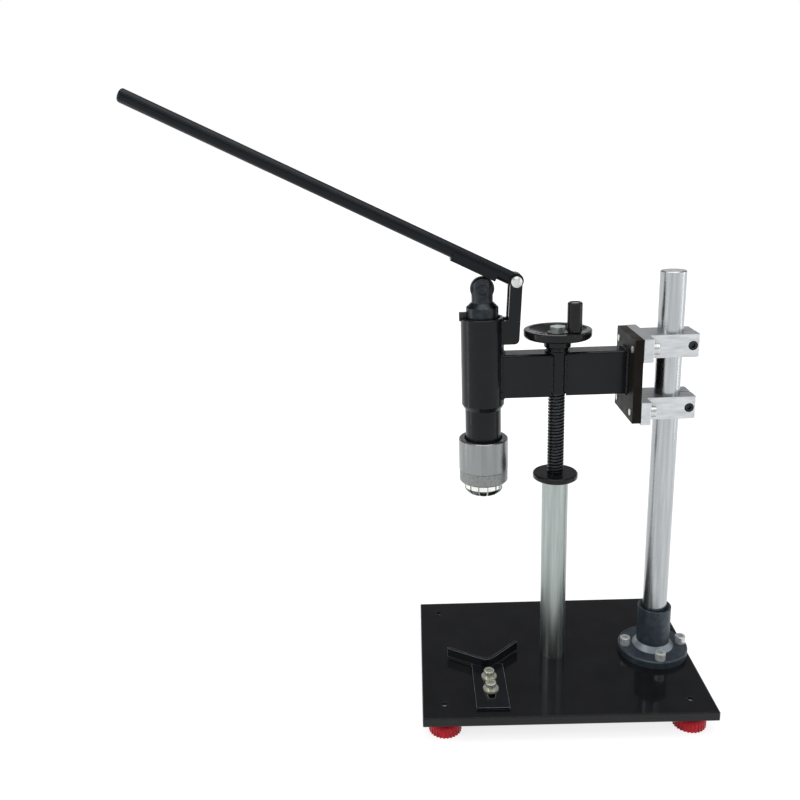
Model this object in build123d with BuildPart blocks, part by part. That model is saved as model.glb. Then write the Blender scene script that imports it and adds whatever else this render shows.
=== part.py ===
"""Bench bottle capper: a lever-driven capping head on an arm that a lead screw raises.

Millimetres. The origin is the bottle's seat: on top of the base plate, on the axis of the
capping head. +X runs from the head to the column, -Y is the operator's side, +Z is up.
"""
from build123d import *
from math import cos, radians, sin, sqrt, tan
import os

# Fits, as radial or face-to-face clearances
running_gap = 0.05
seat_gap = 0.02
body_gap = 0.3
screw_hole_gap = 0.5

# Screws: M8 and M6 socket heads, M8 and M10 hexagons
m6_radius = 3.0
m6_head_radius = 5.0
m6_head_height = 6.0
m6_socket = 5.0
m8_radius = 4.0
m8_head_radius = 6.5
m8_head_height = 8.0
m8_socket = 6.0
m8_hex = 13.0
m8_nut_height = 6.5
m10_radius = 5.0
m10_hex = 17.0
m10_head_height = 6.4
head_bevel = 0.6

# Base plate and feet
plate_length = 350.0
plate_width = 260.0
plate_thickness = 12.0
plate_bevel = 1.0
bottle_from_left = 85.0
foot_inset = 27.0
stand_height = 22.0
foot_radius = 20.0
foot_height = 14.0
foot_bevel = 2.5
flute_count = 28
flute_radius = 1.3
stud_socket_depth = 10.0
stud_top_below_plate = 4.0

# Column and its flange
column_x = 220.5
column_radius = 15.0
column_height = 501.6
column_bevel = 1.0
flange_thickness = 10.0
flange_bevel = 1.5
flange_rim = 8.0
flange_screw_from_collar = 15.2
flange_screw_depth = 18.0
spring_washer_thickness = 2.2
cone_spread = 5.5
cone_height = 7.5
collar_radius = 20.8
collar_top = 67.0
collar_mouth_bevel = 4.0

# Lift tube, lift nut and lead screw
screw_x = 88.5
lift_tube_radius = 16.0
lift_tube_wall = 2.5
lift_tube_height = 250.0
plug_height = 20.0
plug_bolt_length = 25.0
nut_flange_radius = 27.5
nut_flange_thickness = 7.0
nut_hub_length = 25.0
nut_bevel = 1.2
screw_radius = 10.0
thread_length = 209.0
journal_radius = 7.5
thrust_washer_radius = 11.0
thrust_washer_thickness = 2.0

# Bottle, and the heights of the capping head above it
bottle_height = 230.0
mouth_clearance = 4.2

# Collet: fourteen jaws on one ring
nose_height = 9.3
nose_radius = 17.8
nose_round = 13.0
mouth_radius = 16.2
mouth_lip = 3.0
jaw_radius = 24.5
jaw_exposed = 6.5
jaw_land = 2.0
jaw_taper_length = 8.0
jaw_taper_depth = 1.9
jaw_stem_radius = 21.0
jaw_stem_bore = 17.4
collet_flange_thickness = 5.0
slot_count = 14
slot_azimuth = -83.2
slot_width = 1.5
slot_end_below_flange = 2.5
pad_radius = 13.4
pad_thickness = 6.0
pad_above_nose = 10.5
pad_stem_radius = 9.0
pad_flange_radius = 24.8
pad_flange_thickness = 3.0
collet_spring_wire = 2.0
collet_spring_radius = 19.5
collet_spring_turns = 3.0

# Closing ring and bell
ring_radius = 29.5
ring_skirt = 15.5
ring_bevel = 1.5
ring_clearance = 0.4
ring_bore_land = 6.0
ring_spigot = 6.0
bell_radius = 30.0
bell_height = 40.0
bell_wall = 4.5
bell_chamber_depth = 25.0
bell_recess_radius = 23.5
bell_recess_depth = 6.0
bell_bevel = 1.2

# Head cylinder and plunger
cylinder_above_bell = 37.5
cylinder_radius = 25.5
cylinder_height = 111.5
cylinder_foot_bevel = 3.6
cylinder_foot_taper = 6.0
cylinder_rim_bevel = 1.0
tube_radius = 21.5
tube_bore_radius = 16.5
spring_seat_height = 52.0
spring_seat_thickness = 6.0
spring_seat_bore_gap = 1.2
stem_radius = 11.0
stem_plug_height = 14.0
collar_below_rim = 5.0
plunger_collar_radius = 19.0
plunger_collar_height = 22.5
plunger_collar_bevel = 5.5
neck_radius = 12.5
main_spring_wire = 3.5
main_spring_radius = 14.5
main_spring_turns = 6.0
key_width = 7.0
key_inner_radius = 17.0
key_outer_radius = 27.3
key_length = 27.0
key_rise = 6.5
key_lap = 3.5
keyway_clearance = 0.4

# Roller and lever
roller_radius = 14.0
roller_width = 8.0
roller_bevel = 0.8
axle_radius = 6.0
axle_length = 24.8
fork_gap = 0.5
pivot_x = 38.4
pivot_above_rim = 42.0
lever_angle = 26.8
lever_length = 485.0
lever_radius = 8.0
lever_tip_round = 3.0
eye_radius = 9.0
pivot_pin_radius = 5.0
pin_head_radius = 6.4
pin_head_height = 3.5
pin_head_bevel = 2.4
clip_radius = 8.0
clip_thickness = 1.2
saddle_start = 22.0
saddle_length = 57.0
saddle_wall = 3.0
saddle_floor = 2.4

# Lever post: two cheeks on one foot, welded to the cylinder
post_half_width = 7.0
post_lean = 3.0
post_cheek = 6.0
post_foot_drop = 31.0
post_foot_top = 3.0
post_web_top = 5.0
post_knee_round = 6.0

# Arm, screw boss and handwheel
arm_above_cylinder_foot = 14.7
arm_height = 52.8
arm_width = 30.0
arm_wall = 3.0
arm_corner = 3.0
arm_step = 1.2
boss_radius = 15.0
boss_recess = 3.6
boss_rise = 0.3
arm_end_from_screw = 9.0
bush_radius = 10.0
bush_length = 20.0
bush_flange_radius = 13.0
bush_flange_thickness = 2.0
upper_washer_thickness = 1.7
wheel_radius = 40.0
wheel_hub_radius = 16.0
wheel_hub_height = 16.0
wheel_rim_width = 6.5
wheel_rim_height = 10.0
wheel_rim_above_hub_foot = 11.5
wheel_web_thickness = 4.0
wheel_lower_round = 4.0
wheel_upper_round = 1.5
wheel_key_width = 4.0
wheel_key_depth = 2.0
wheel_key_length = 12.0
wheel_bolt_length = 20.0
wheel_bolt_turn = 15.0
wheel_washer_radius = 12.0
wheel_washer_thickness = 2.0
grip_from_axis = 28.0
grip_azimuth = -57.0
grip_radius = 8.6
grip_length = 35.0
grip_bevel = 1.2
spindle_radius = 4.0
spindle_head_radius = 5.5
spindle_head_height = 3.0
grip_recess_radius = 6.2
grip_recess_depth = 4.3

# Clamp plate and the two column clamps
clamp_plate_thickness = 10.0
clamp_plate_width = 85.0
clamp_plate_height = 99.0
clamp_plate_drop = 3.6
clamp_foot_thickness = 12.0
clamp_body_width = 44.0
clamp_height = 27.0
clamp_spacing = 75.0
clamp_pair_drop = 1.0
clamp_centre = 41.5
clamp_end = 28.0
clamp_slit = 3.0
clamp_bolt_from_body = 10.0
clamp_bolt_reach = 1.0
clamp_screw_from_bore = 20.4
clamp_round = 1.5

# Bottle stop
strap_width = 40.0
strap_thickness = 3.0
strap_front = 116.0
strap_back = 28.0
stop_slot_front = 99.0
stop_slot_back = 44.0
stop_slot_width = 9.0
stop_screw_front = 81.5
stop_screw_back = 57.0
stop_washer_radius = 9.5
stop_washer_thickness = 3.0
blade_half_angle = 52.0
blade_turn = 7.0
blade_stand_off = 27.0
blade_length = 57.0
blade_thickness = 3.5
blade_height = 11.5
blade_apex_round = 10.0

# Places worked out from the sizes
plate_centre_x = plate_length / 2 - bottle_from_left
floor_z = -plate_thickness - stand_height
flange_circle = collar_radius + flange_screw_from_collar
flange_radius = flange_circle + flange_rim
cone_radius = collar_radius + cone_spread
clamp_plate_x = column_x - clamp_centre - clamp_plate_thickness
clamp_foot_x = column_x - clamp_centre
clamp_bolt_spacing = clamp_body_width + 2 * clamp_bolt_from_body

nose_z = bottle_height + mouth_clearance
ring_z = nose_z + nose_height + jaw_exposed
bell_z = ring_z + ring_skirt
bell_top = bell_z + bell_height
chamber_radius = bell_radius - bell_wall
chamber_top = bell_z + bell_chamber_depth
ring_top = bell_z + ring_spigot
ring_bore = jaw_radius + ring_clearance
collet_flange_z = ring_top + body_gap
collet_top = collet_flange_z + collet_flange_thickness

cylinder_z = bell_top + cylinder_above_bell
cylinder_top = cylinder_z + cylinder_height
cylinder_bore = tube_radius + running_gap
spring_seat_z = cylinder_z + spring_seat_height
spring_seat_top = spring_seat_z + spring_seat_thickness
tube_top = spring_seat_z - body_gap
plunger_collar_z = cylinder_top - collar_below_rim
plunger_collar_top = plunger_collar_z + plunger_collar_height

pivot_z = cylinder_top + pivot_above_rim
lever_rise = radians(lever_angle)
saddle_drop = lever_radius + saddle_floor
contact_drop = saddle_drop + roller_radius + body_gap
roller_z = pivot_z + (pivot_x * sin(lever_rise) - contact_drop) / cos(lever_rise)
fork_half_gap = roller_width / 2 + fork_gap
lever_direction = (-cos(lever_rise), 0, sin(lever_rise))
cheek_inner = lever_radius + body_gap
cheek_outer = cheek_inner + post_cheek

arm_inner_z = cylinder_z + arm_above_cylinder_foot
arm_outer_z = arm_inner_z + arm_step
boss_z = arm_inner_z + boss_recess
boss_top = arm_outer_z + arm_height + boss_rise
screw_shoulder_z = boss_z - body_gap - thrust_washer_thickness
hub_z = boss_top + bush_flange_thickness + body_gap + upper_washer_thickness
hub_top = hub_z + wheel_hub_height
rim_z = hub_z + wheel_rim_above_hub_foot
rim_top = rim_z + wheel_rim_height
grip_x = screw_x + grip_from_axis * cos(radians(grip_azimuth))
grip_y = grip_from_axis * sin(radians(grip_azimuth))
grip_z = rim_top + body_gap

clamp_plate_mid = arm_inner_z + arm_height / 2 - clamp_plate_drop
clamp_pair_mid = clamp_plate_mid - clamp_pair_drop
upper_clamp_z = clamp_pair_mid + (clamp_spacing - clamp_height) / 2
lower_clamp_z = clamp_pair_mid - (clamp_spacing + clamp_height) / 2

strap_z = body_gap
stop_screw_seat = strap_z + strap_thickness + body_gap + stop_washer_thickness


def keep(piece, name):
    """Label a finished piece and write its STEP file."""
    piece.part.label = name
    export_step(piece.part, f"parts/{name}.step")


def at(x, y, z, normal=(0, 0, 1), along=(1, 0, 0)):
    """A sketch plane with its origin at a point."""
    return Plane(origin=(x, y, z), x_dir=along, z_dir=normal)


def socket_screws(seat, places, radius, head_radius, head_height, socket, length):
    """Socket-head screws standing on the seat plane, their shanks below it."""
    with BuildPart() as screws:
        with BuildSketch(seat):
            with Locations(*places):
                Circle(head_radius)
        extrude(amount=head_height)
        crown = Plane(origin=seat.origin + seat.z_dir * head_height, x_dir=seat.x_dir, z_dir=seat.z_dir)
        chamfer(screws.faces().sort_by(Axis(seat.origin, seat.z_dir)).group_by(
            Axis(seat.origin, seat.z_dir))[-1].edges(), head_bevel)
        with BuildSketch(crown):
            with Locations(*places):
                RegularPolygon(socket / 2, 6, major_radius=False)
        extrude(amount=-head_height / 2, mode=Mode.SUBTRACT)
        with BuildSketch(seat):
            with Locations(*places):
                Circle(radius)
        extrude(amount=-length)
    return screws


def washers(seat, places, outer, inner, thickness):
    """Flat rings lying on the seat plane."""
    with BuildPart() as rings:
        with BuildSketch(seat):
            with Locations(*places):
                Circle(outer)
                Circle(inner, mode=Mode.SUBTRACT)
        extrude(amount=thickness)
    return rings


def coil_spring(x, bottom, top, mean_radius, wire, turns):
    """A compression spring about a vertical axis, its ends ground flat."""
    pitch = (top - bottom) / turns
    with BuildPart() as spring:
        with BuildLine():
            coil = Helix(pitch=pitch, height=top - bottom, radius=mean_radius, center=(x, 0, bottom))
        with BuildSketch(Plane(origin=coil @ 0, z_dir=coil % 0)):
            Circle(wire / 2)
        sweep(path=coil, is_frenet=True)
        split(bisect_by=Plane.XY.offset(bottom), keep=Keep.TOP)
        split(bisect_by=Plane.XY.offset(top), keep=Keep.BOTTOM)
    return spring


os.makedirs("parts", exist_ok=True)

# Base plate: foot, flange, lift and stop holes
foot_spacing_x = plate_length - 2 * foot_inset
foot_spacing_y = plate_width - 2 * foot_inset
with BuildPart() as base_plate:
    with BuildSketch(at(plate_centre_x, 0, -plate_thickness)):
        Rectangle(plate_length, plate_width)
    extrude(amount=plate_thickness)
    chamfer(base_plate.edges(), plate_bevel)
    with Locations((plate_centre_x, 0, 0)):
        with GridLocations(foot_spacing_x, foot_spacing_y, 2, 2):
            Hole(m8_radius + running_gap, depth=plate_thickness)
    with Locations((column_x, 0, 0)):
        with PolarLocations(flange_circle, 4):
            Hole(m8_radius + seat_gap, depth=plate_thickness)
    with Locations((screw_x, 0, 0)):
        Hole(m10_radius + screw_hole_gap, depth=plate_thickness)
    with Locations((0, -stop_screw_front, 0), (0, -stop_screw_back, 0)):
        Hole(m8_radius + seat_gap, depth=plate_thickness)
keep(base_plate, "base_plate")

# Levelling feet: a fluted pad, a threaded stud and a lock nut at each corner
foot_sides = {
    "front_left": (-1, -1),
    "front_right": (1, -1),
    "back_left": (-1, 1),
    "back_right": (1, 1),
}
for corner, (side_x, side_y) in foot_sides.items():
    foot_x = plate_centre_x + side_x * foot_spacing_x / 2
    foot_y = side_y * foot_spacing_y / 2
    with BuildPart() as foot_pad:
        with BuildSketch(at(foot_x, foot_y, floor_z)):
            Circle(foot_radius)
        extrude(amount=foot_height)
        chamfer(foot_pad.faces().sort_by(Axis.Z)[-1].edges(), foot_bevel)
        with BuildSketch(at(foot_x, foot_y, floor_z)):
            with PolarLocations(foot_radius, flute_count):
                Circle(flute_radius)
        extrude(amount=foot_height, mode=Mode.SUBTRACT)
        with Locations((foot_x, foot_y, floor_z + foot_height)):
            Hole(m8_radius + seat_gap, depth=stud_socket_depth)
    keep(foot_pad, f"foot_pad_{corner}")

    with BuildPart() as foot_stud:
        stud_z = floor_z + foot_height - stud_socket_depth
        with BuildSketch(at(foot_x, foot_y, stud_z)):
            Circle(m8_radius)
        extrude(amount=-stud_z - stud_top_below_plate)
        chamfer(foot_stud.faces().sort_by(Axis.Z)[-1].edges(), head_bevel)
    keep(foot_stud, f"foot_stud_{corner}")

with BuildPart() as foot_lock_nuts:
    with BuildSketch(at(plate_centre_x, 0, -plate_thickness - m8_nut_height)):
        with GridLocations(foot_spacing_x, foot_spacing_y, 2, 2):
            RegularPolygon(m8_hex / 2, 6, major_radius=False)
            Circle(m8_radius + running_gap, mode=Mode.SUBTRACT)
    extrude(amount=m8_nut_height)
keep(foot_lock_nuts, "foot_lock_nuts")

# Column, and the flange and collar it stands in
with BuildPart() as column:
    with BuildSketch(at(column_x, 0, 0)):
        Circle(column_radius)
    extrude(amount=column_height)
    chamfer(column.faces().sort_by(Axis.Z)[-1].edges(), column_bevel)
keep(column, "column")

with BuildPart() as column_flange:
    with BuildSketch(at(column_x, 0, 0)):
        Circle(flange_radius)
        Circle(column_radius + seat_gap, mode=Mode.SUBTRACT)
        with PolarLocations(flange_circle, 4):
            Circle(m8_radius + screw_hole_gap, mode=Mode.SUBTRACT)
    extrude(amount=flange_thickness)
    flange_rim_edge = column_flange.faces().sort_by(Axis.Z)[-1].outer_wire().edges()
    chamfer(flange_rim_edge, flange_bevel)
keep(column_flange, "column_flange")

with BuildPart() as column_collar:
    with BuildSketch(at(column_x, 0, 0, (0, -1, 0))):
        with BuildLine():
            Polyline(
                (column_radius + seat_gap, flange_thickness),
                (cone_radius, flange_thickness),
                (collar_radius, flange_thickness + cone_height),
                (collar_radius, collar_top - head_bevel),
                (collar_radius - head_bevel, collar_top),
                (column_radius + collar_mouth_bevel, collar_top),
                (column_radius + seat_gap, collar_top - collar_mouth_bevel),
                close=True,
            )
        make_face()
    revolve(axis=Axis((column_x, 0, 0), (0, 0, 1)))
keep(column_collar, "column_collar")

flange_places = [
    (flange_circle, 0),
    (-flange_circle, 0),
    (0, flange_circle),
    (0, -flange_circle),
]
flange_spring_washers = washers(
    at(column_x, 0, flange_thickness),
    flange_places,
    m8_head_radius,
    m8_radius + seat_gap,
    spring_washer_thickness,
)
keep(flange_spring_washers, "flange_spring_washers")

flange_screws = socket_screws(
    at(column_x, 0, flange_thickness + spring_washer_thickness),
    flange_places,
    m8_radius,
    m8_head_radius,
    m8_head_height,
    m8_socket,
    flange_screw_depth + spring_washer_thickness,
)
keep(flange_screws, "flange_screws")

# Lift tube with its plug and bolt, and the nut that carries the lead screw
lift_bore = lift_tube_radius - lift_tube_wall
with BuildPart() as lift_tube:
    with BuildSketch(at(screw_x, 0, 0)):
        Circle(lift_tube_radius)
        Circle(lift_bore, mode=Mode.SUBTRACT)
    extrude(amount=lift_tube_height)
keep(lift_tube, "lift_tube")

with BuildPart() as lift_tube_plug:
    with BuildSketch(at(screw_x, 0, 0)):
        Circle(lift_bore - seat_gap)
        Circle(m10_radius + seat_gap, mode=Mode.SUBTRACT)
    extrude(amount=plug_height)
keep(lift_tube_plug, "lift_tube_plug")

with BuildPart() as lift_tube_bolt:
    with BuildSketch(at(screw_x, 0, -plate_thickness - m10_head_height)):
        RegularPolygon(m10_hex / 2, 6, major_radius=False)
    extrude(amount=m10_head_height)
    with BuildSketch(at(screw_x, 0, -plate_thickness)):
        Circle(m10_radius)
    extrude(amount=plug_bolt_length)
keep(lift_tube_bolt, "lift_tube_bolt")

with BuildPart() as lift_nut:
    with BuildSketch(at(screw_x, 0, lift_tube_height)):
        Circle(nut_flange_radius)
    extrude(amount=nut_flange_thickness)
    chamfer(lift_nut.edges().filter_by(GeomType.CIRCLE), nut_bevel)
    with BuildSketch(at(screw_x, 0, lift_tube_height)):
        Circle(lift_bore - seat_gap)
    extrude(amount=-nut_hub_length)
    with Locations((screw_x, 0, lift_tube_height + nut_flange_thickness)):
        Hole(screw_radius + running_gap, depth=nut_flange_thickness + nut_hub_length)
keep(lift_nut, "lift_nut")

with BuildPart() as lead_screw:
    with BuildSketch(at(screw_x, 0, screw_shoulder_z - thread_length)):
        Circle(screw_radius)
    extrude(amount=thread_length)
    chamfer(lead_screw.faces().sort_by(Axis.Z)[0].edges(), nut_bevel)
    with BuildSketch(at(screw_x, 0, screw_shoulder_z)):
        Circle(journal_radius)
    extrude(amount=hub_top - body_gap - screw_shoulder_z)
    with Locations((screw_x, 0, hub_top - body_gap)):
        Hole(m10_radius + seat_gap, depth=wheel_bolt_length)
    with BuildSketch(at(screw_x, 0, hub_top - wheel_key_length)):
        with Locations((0, journal_radius)):
            Rectangle(wheel_key_width + 2 * seat_gap, 2 * (wheel_key_depth + seat_gap))
    extrude(amount=wheel_key_length, mode=Mode.SUBTRACT)
keep(lead_screw, "lead_screw")

thrust_washer = washers(
    at(screw_x, 0, screw_shoulder_z),
    [(0, 0)],
    thrust_washer_radius,
    journal_radius + seat_gap,
    thrust_washer_thickness,
)
keep(thrust_washer, "thrust_washer")

# Collet: a ring of jaws that the closing ring squeezes over the cap
with BuildPart() as collet:
    with BuildSketch(Plane.XZ):
        with BuildLine():
            Polyline(
                (jaw_radius, ring_z),
                (jaw_radius, ring_z + jaw_land),
                (jaw_radius - jaw_taper_depth, ring_z + jaw_land + jaw_taper_length),
                (jaw_stem_radius, ring_z + jaw_land + jaw_taper_length + jaw_taper_depth / 2),
                (jaw_stem_radius, collet_flange_z),
                (chamber_radius - running_gap, collet_flange_z),
                (chamber_radius - running_gap, collet_top),
                (jaw_stem_bore, collet_top),
                (jaw_stem_bore, nose_z + mouth_lip + jaw_stem_bore - mouth_radius),
                (mouth_radius, nose_z + mouth_lip),
                (mouth_radius, nose_z),
                (nose_radius, nose_z),
            )
            RadiusArc((nose_radius, nose_z), (jaw_radius, nose_z + nose_height), -nose_round)
            Line((jaw_radius, nose_z + nose_height), (jaw_radius, ring_z))
        make_face()
    revolve(axis=Axis.Z)
    with BuildSketch(Plane.XY.offset(nose_z)):
        with PolarLocations(jaw_radius / 2, slot_count, start_angle=slot_azimuth):
            Rectangle(jaw_radius + 2 * slot_width, slot_width)
    extrude(amount=collet_flange_z - slot_end_below_flange - nose_z, mode=Mode.SUBTRACT)
keep(collet, "collet")

pad_z = nose_z + pad_above_nose
with BuildPart() as pressure_pad:
    with BuildSketch(Plane.XY.offset(pad_z)):
        Circle(pad_radius)
    extrude(amount=pad_thickness)
    chamfer(pressure_pad.edges().filter_by(GeomType.CIRCLE), head_bevel)
    with BuildSketch(Plane.XY.offset(pad_z + pad_thickness)):
        Circle(pad_stem_radius)
    extrude(amount=collet_top - pad_z - pad_thickness)
    with BuildSketch(Plane.XY.offset(collet_top)):
        Circle(pad_flange_radius)
    extrude(amount=pad_flange_thickness)
keep(pressure_pad, "pressure_pad")

collet_spring = coil_spring(
    0,
    collet_top + pad_flange_thickness,
    chamber_top,
    collet_spring_radius,
    collet_spring_wire,
    collet_spring_turns,
)
keep(collet_spring, "collet_spring")

with BuildPart() as closing_ring:
    with BuildSketch(Plane.XZ):
        with BuildLine():
            Polyline(
                (ring_bore, ring_z),
                (ring_radius - ring_bevel, ring_z),
                (ring_radius, ring_z + ring_bevel),
                (ring_radius, bell_z),
                (chamber_radius - seat_gap, bell_z),
                (chamber_radius - seat_gap, ring_top),
                (ring_bore - jaw_taper_depth, ring_top),
                (ring_bore - jaw_taper_depth, ring_z + ring_bore_land + jaw_taper_length),
                (ring_bore, ring_z + ring_bore_land),
                close=True,
            )
        make_face()
    revolve(axis=Axis.Z)
keep(closing_ring, "closing_ring")

with BuildPart() as bell:
    with BuildSketch(Plane.XZ):
        with BuildLine():
            Polyline(
                (chamber_radius, bell_z),
                (bell_radius - head_bevel, bell_z),
                (bell_radius, bell_z + head_bevel),
                (bell_radius, bell_top - bell_bevel),
                (bell_radius - bell_bevel, bell_top),
                (bell_recess_radius, bell_top),
                (bell_recess_radius, bell_top - bell_recess_depth),
                (tube_radius + seat_gap, bell_top - bell_recess_depth),
                (tube_radius + seat_gap, chamber_top),
                (chamber_radius, chamber_top),
                close=True,
            )
        make_face()
    revolve(axis=Axis.Z)
keep(bell, "bell")

# Plunger: the tube that carries the bell, and the stem that the roller presses
with BuildPart() as plunger_tube:
    with BuildSketch(Plane.XY.offset(chamber_top)):
        Circle(tube_radius)
        Circle(tube_bore_radius, mode=Mode.SUBTRACT)
    extrude(amount=tube_top - chamber_top)
keep(plunger_tube, "plunger_tube")

with BuildPart() as plunger_stem:
    with BuildSketch(Plane.XZ):
        with BuildLine():
            Polyline(
                (0, tube_top - stem_plug_height),
                (tube_bore_radius - seat_gap, tube_top - stem_plug_height),
                (tube_bore_radius - seat_gap, tube_top),
                (stem_radius, tube_top),
                (stem_radius, plunger_collar_z),
                (plunger_collar_radius, plunger_collar_z),
                (plunger_collar_radius, plunger_collar_top - plunger_collar_bevel),
                (plunger_collar_radius - plunger_collar_bevel, plunger_collar_top),
                (neck_radius, plunger_collar_top),
                (neck_radius, roller_z + neck_radius),
                (0, roller_z + neck_radius),
                close=True,
            )
        make_face()
    revolve(axis=Axis.Z)
    with BuildSketch(Plane.XZ):
        with Locations((0, roller_z + neck_radius / 2)):
            Rectangle(2 * neck_radius, neck_radius)
        with Locations((0, roller_z)):
            Circle(neck_radius, mode=Mode.SUBTRACT)
    extrude(amount=neck_radius, both=True, mode=Mode.SUBTRACT)
    with BuildSketch(Plane.XZ):
        with Locations((0, roller_z)):
            Circle(roller_radius + body_gap)
        with Locations((0, roller_z + neck_radius)):
            Rectangle(2 * (roller_radius + body_gap), 2 * neck_radius)
    extrude(amount=fork_half_gap, both=True, mode=Mode.SUBTRACT)
    with BuildSketch(Plane.XZ):
        with Locations((0, roller_z)):
            Circle(axle_radius + seat_gap)
    extrude(amount=neck_radius, both=True, mode=Mode.SUBTRACT)
    keyway_floor = key_inner_radius - keyway_clearance
    with BuildSketch(Plane.XY.offset(plunger_collar_z)):
        with Locations((-keyway_floor - neck_radius / 2, 0)):
            Rectangle(neck_radius, key_width + 2 * keyway_clearance)
    extrude(amount=plunger_collar_height, mode=Mode.SUBTRACT)
keep(plunger_stem, "plunger_stem")

main_spring = coil_spring(
    0,
    spring_seat_top,
    plunger_collar_z,
    main_spring_radius,
    main_spring_wire,
    main_spring_turns,
)
keep(main_spring, "main_spring")

with BuildPart() as roller:
    with BuildSketch(Plane.XZ):
        with Locations((0, roller_z)):
            Circle(roller_radius)
    extrude(amount=roller_width / 2, both=True)
    chamfer(roller.edges().filter_by(GeomType.CIRCLE), roller_bevel)
    with BuildSketch(Plane.XZ):
        with Locations((0, roller_z)):
            Circle(axle_radius + running_gap)
    extrude(amount=roller_width / 2, both=True, mode=Mode.SUBTRACT)
keep(roller, "roller")

with BuildPart() as roller_axle:
    with BuildSketch(Plane.XZ):
        with Locations((0, roller_z)):
            Circle(axle_radius)
    extrude(amount=axle_length / 2, both=True)
    chamfer(roller_axle.edges().filter_by(GeomType.CIRCLE), head_bevel)
keep(roller_axle, "roller_axle")

# Head cylinder with its spring seat and guide key
with BuildPart() as head_cylinder:
    with BuildSketch(Plane.XY.offset(cylinder_z)):
        Circle(cylinder_radius)
    extrude(amount=cylinder_height)
    foot_face = head_cylinder.faces().sort_by(Axis.Z)[0]
    chamfer(foot_face.edges(), cylinder_foot_bevel, cylinder_foot_taper, reference=foot_face)
    chamfer(head_cylinder.faces().sort_by(Axis.Z)[-1].edges(), cylinder_rim_bevel)
    with BuildSketch(Plane.XY.offset(cylinder_z)):
        Circle(cylinder_bore)
    extrude(amount=cylinder_height, mode=Mode.SUBTRACT)
keep(head_cylinder, "head_cylinder")

with BuildPart() as spring_seat:
    with BuildSketch(Plane.XY.offset(spring_seat_z)):
        Circle(cylinder_bore - seat_gap)
        Circle(stem_radius + spring_seat_bore_gap, mode=Mode.SUBTRACT)
    extrude(amount=spring_seat_thickness)
keep(spring_seat, "spring_seat")

key_top = cylinder_top + key_rise
key_back = sqrt(cylinder_bore**2 - (key_width / 2) ** 2) - seat_gap
with BuildPart() as guide_key:
    with BuildSketch(Plane.XZ):
        with BuildLine():
            Polyline(
                (-key_inner_radius, cylinder_top - key_length),
                (-key_inner_radius, key_top),
                (-key_outer_radius, key_top),
                (-key_outer_radius, cylinder_top - key_lap),
                (-cylinder_radius - seat_gap, cylinder_top - key_lap),
                (-cylinder_radius - seat_gap, cylinder_top + seat_gap),
                (-key_back, cylinder_top + seat_gap),
                (-key_back, cylinder_top - key_length),
                close=True,
            )
        make_face()
    extrude(amount=key_width / 2, both=True)
keep(guide_key, "guide_key")

# Lever post
lean = tan(radians(post_lean))
post_z = cylinder_top - post_foot_drop
foot_top_z = cylinder_top - post_foot_top
knee_x = pivot_x - post_half_width - (pivot_z - foot_top_z) * lean
with BuildPart() as lever_post:
    with BuildSketch(Plane.XZ) as post_profile:
        with BuildLine():
            Polyline(
                (pivot_x - post_half_width, pivot_z),
                (knee_x, foot_top_z),
                (0, foot_top_z),
                (0, post_z),
                (pivot_x + post_half_width - (pivot_z - post_z) * lean, post_z),
                (pivot_x + post_half_width, pivot_z),
            )
            ThreePointArc(
                (pivot_x + post_half_width, pivot_z),
                (pivot_x, pivot_z + post_half_width),
                (pivot_x - post_half_width, pivot_z),
            )
        make_face()
        fillet(post_profile.vertices().sort_by_distance((knee_x, 0, foot_top_z))[0:1], post_knee_round)
    extrude(amount=cheek_outer, both=True)
    with BuildSketch(Plane.XY.offset(cylinder_top - post_web_top)):
        with Locations((pivot_x, 0)):
            Rectangle(2 * pivot_x, 2 * cheek_inner)
    extrude(amount=pivot_z + eye_radius + post_web_top - cylinder_top, mode=Mode.SUBTRACT)
    with BuildSketch(Plane.XY.offset(post_z)):
        Circle(cylinder_radius + seat_gap)
    extrude(amount=pivot_z - post_z, mode=Mode.SUBTRACT)
    with BuildSketch(Plane.XZ):
        with Locations((pivot_x, pivot_z)):
            Circle(pivot_pin_radius + seat_gap)
    extrude(amount=cheek_outer, both=True, mode=Mode.SUBTRACT)
keep(lever_post, "lever_post")

# Pivot pin, with a domed head in front and a clip behind
pin_tail = cheek_outer + 2 * clip_thickness
with BuildPart() as pivot_pin:
    with BuildSketch(at(pivot_x, -cheek_outer, pivot_z, (0, -1, 0))):
        Circle(pin_head_radius)
    extrude(amount=pin_head_height)
    chamfer(pivot_pin.faces().sort_by(Axis.Y)[0].edges(), pin_head_bevel / 2, pin_head_bevel)
    with BuildSketch(at(pivot_x, -cheek_outer, pivot_z, (0, -1, 0))):
        Circle(pivot_pin_radius)
    extrude(amount=-cheek_outer - pin_tail)
keep(pivot_pin, "pivot_pin")

pivot_clip = washers(
    at(pivot_x, cheek_outer, pivot_z, (0, 1, 0)),
    [(0, 0)],
    clip_radius,
    pivot_pin_radius + seat_gap,
    clip_thickness,
)
keep(pivot_clip, "pivot_clip")

# Lever: a round bar with an eye, and the channel that bears on the roller
with BuildPart() as lever_rod:
    with BuildSketch(at(pivot_x, 0, pivot_z, (0, -1, 0))):
        Circle(eye_radius)
    extrude(amount=lever_radius, both=True)
    with BuildSketch(at(pivot_x, 0, pivot_z, lever_direction, (0, 1, 0))):
        Circle(lever_radius)
    extrude(amount=lever_length)
    lever_axis = Axis((pivot_x, 0, pivot_z), lever_direction)
    fillet(lever_rod.faces().sort_by(lever_axis)[-1].edges(), lever_tip_round)
    with BuildSketch(at(pivot_x, 0, pivot_z, (0, -1, 0))):
        Circle(pivot_pin_radius + running_gap)
    extrude(amount=eye_radius, both=True, mode=Mode.SUBTRACT)
keep(lever_rod, "lever_rod")

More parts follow.
